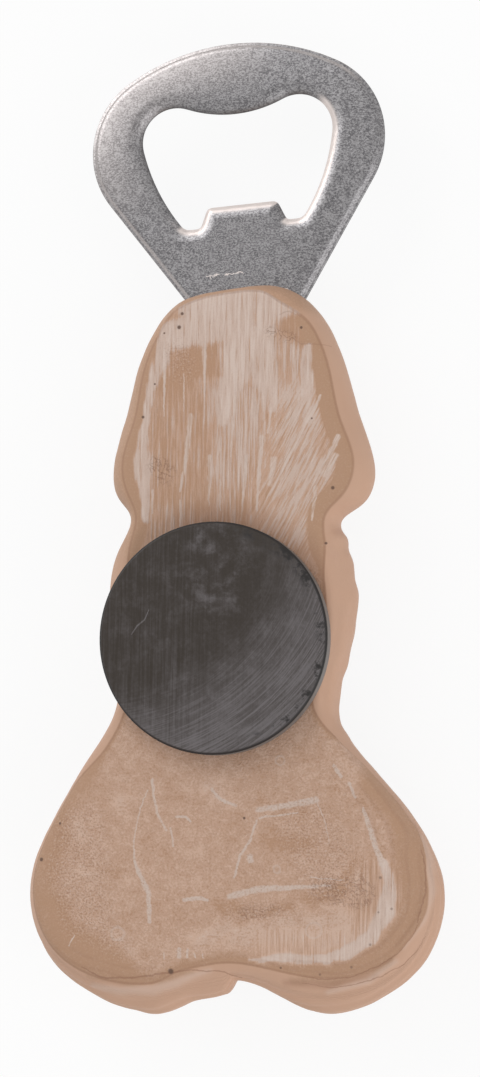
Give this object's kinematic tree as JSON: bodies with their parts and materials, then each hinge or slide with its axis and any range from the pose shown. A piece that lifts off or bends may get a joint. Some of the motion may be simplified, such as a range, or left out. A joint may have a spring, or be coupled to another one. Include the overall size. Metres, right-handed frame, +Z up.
{
  "type": "bottle opener",
  "caption": "Novelty souvenir bottle opener: flat-backed phallic resin handle with a round fridge magnet, and a stamped steel loop opener cast into its end.",
  "frame": {"origin": "bottom centre of the whole opener as it lies on its relief", "axes": "+Z up, out of the flat back and its magnet; +Y along the handle towards the steel loop; +X to the right seen from above"},
  "size_m": [0.0584, 0.1356, 0.0198],
  "materials": {
    "cast_resin": "matte cast resin, sanded on the back",
    "tumbled_steel": "tumbled, fine scratches",
    "ferrite": "ground ferrite, scuffed",
    "glue": "dried clear glue"
  },
  "bodies": {
    "root": {"handle": "cast_resin", "opener_plate": "tumbled_steel", "magnet": "ferrite", "magnet_adhesive": "glue"}
  },
  "joints": []
}
